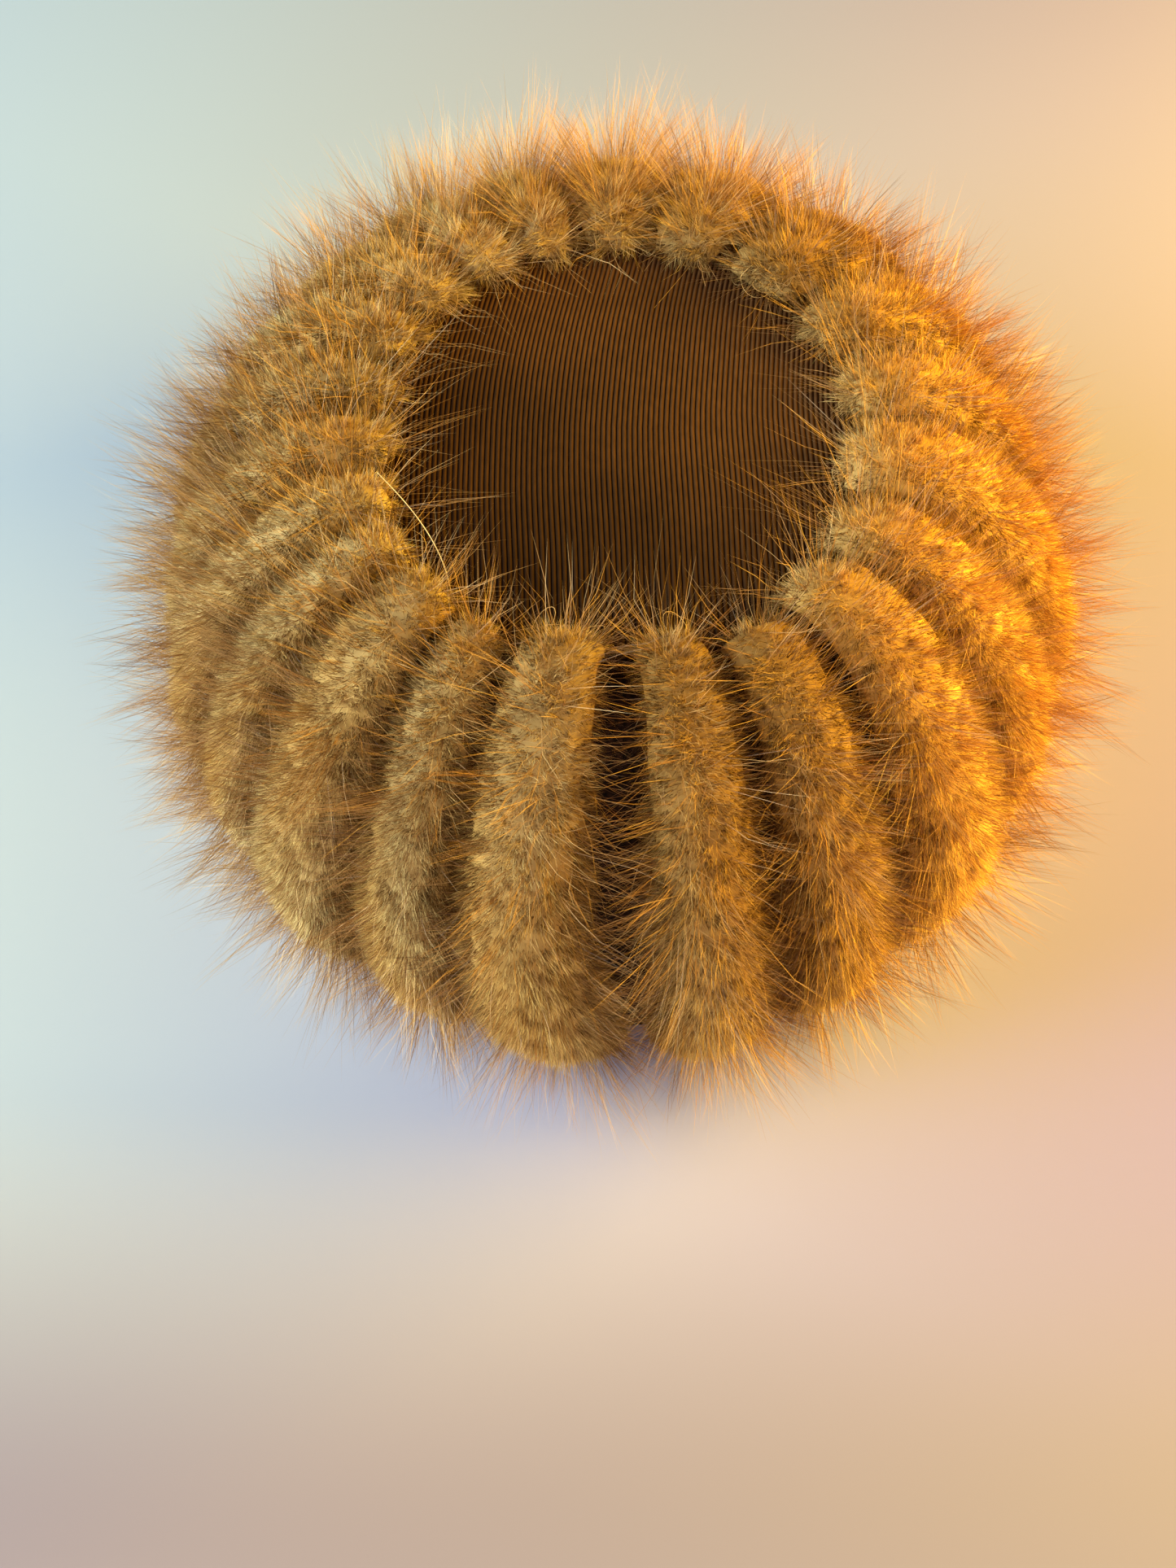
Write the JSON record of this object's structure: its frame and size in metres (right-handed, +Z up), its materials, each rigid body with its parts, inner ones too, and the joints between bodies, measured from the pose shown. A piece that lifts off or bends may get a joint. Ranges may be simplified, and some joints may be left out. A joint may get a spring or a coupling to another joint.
{
  "type": "pillbox hat",
  "caption": "Round fur pillbox hat: flat ribbed fabric crown inside a ring of puffed fur rolls that run down a fabric side wall to a straight hem, open below.",
  "frame": {"origin": "on the surface that the hem stands on, below the middle of the hat", "axes": "+Z up through the middle of the crown, +Y towards the front of the hat along its longer side, +X across it"},
  "size_m": [0.2319, 0.257, 0.1166],
  "materials": {
    "ribbed_fabric": "matt brown cloth with fine straight ribs",
    "roll_fur": "soft golden brown fur, pale dense underfur and darker shining guard hairs"
  },
  "bodies": {
    "root": {"crown_tip": "ribbed_fabric", "side_band": "ribbed_fabric", "fur_roll_01": "roll_fur", "fur_roll_02": "roll_fur", "fur_roll_03": "roll_fur", "fur_roll_04": "roll_fur", "fur_roll_05": "roll_fur", "fur_roll_06": "roll_fur", "fur_roll_07": "roll_fur", "fur_roll_08": "roll_fur", "fur_roll_09": "roll_fur", "fur_roll_10": "roll_fur", "fur_roll_11": "roll_fur", "fur_roll_12": "roll_fur", "fur_roll_13": "roll_fur", "fur_roll_14": "roll_fur", "fur_roll_15": "roll_fur", "fur_roll_16": "roll_fur", "fur_roll_17": "roll_fur", "fur_roll_18": "roll_fur", "fur_roll_19": "roll_fur", "fur_roll_20": "roll_fur", "fur_roll_21": "roll_fur"}
  },
  "joints": []
}
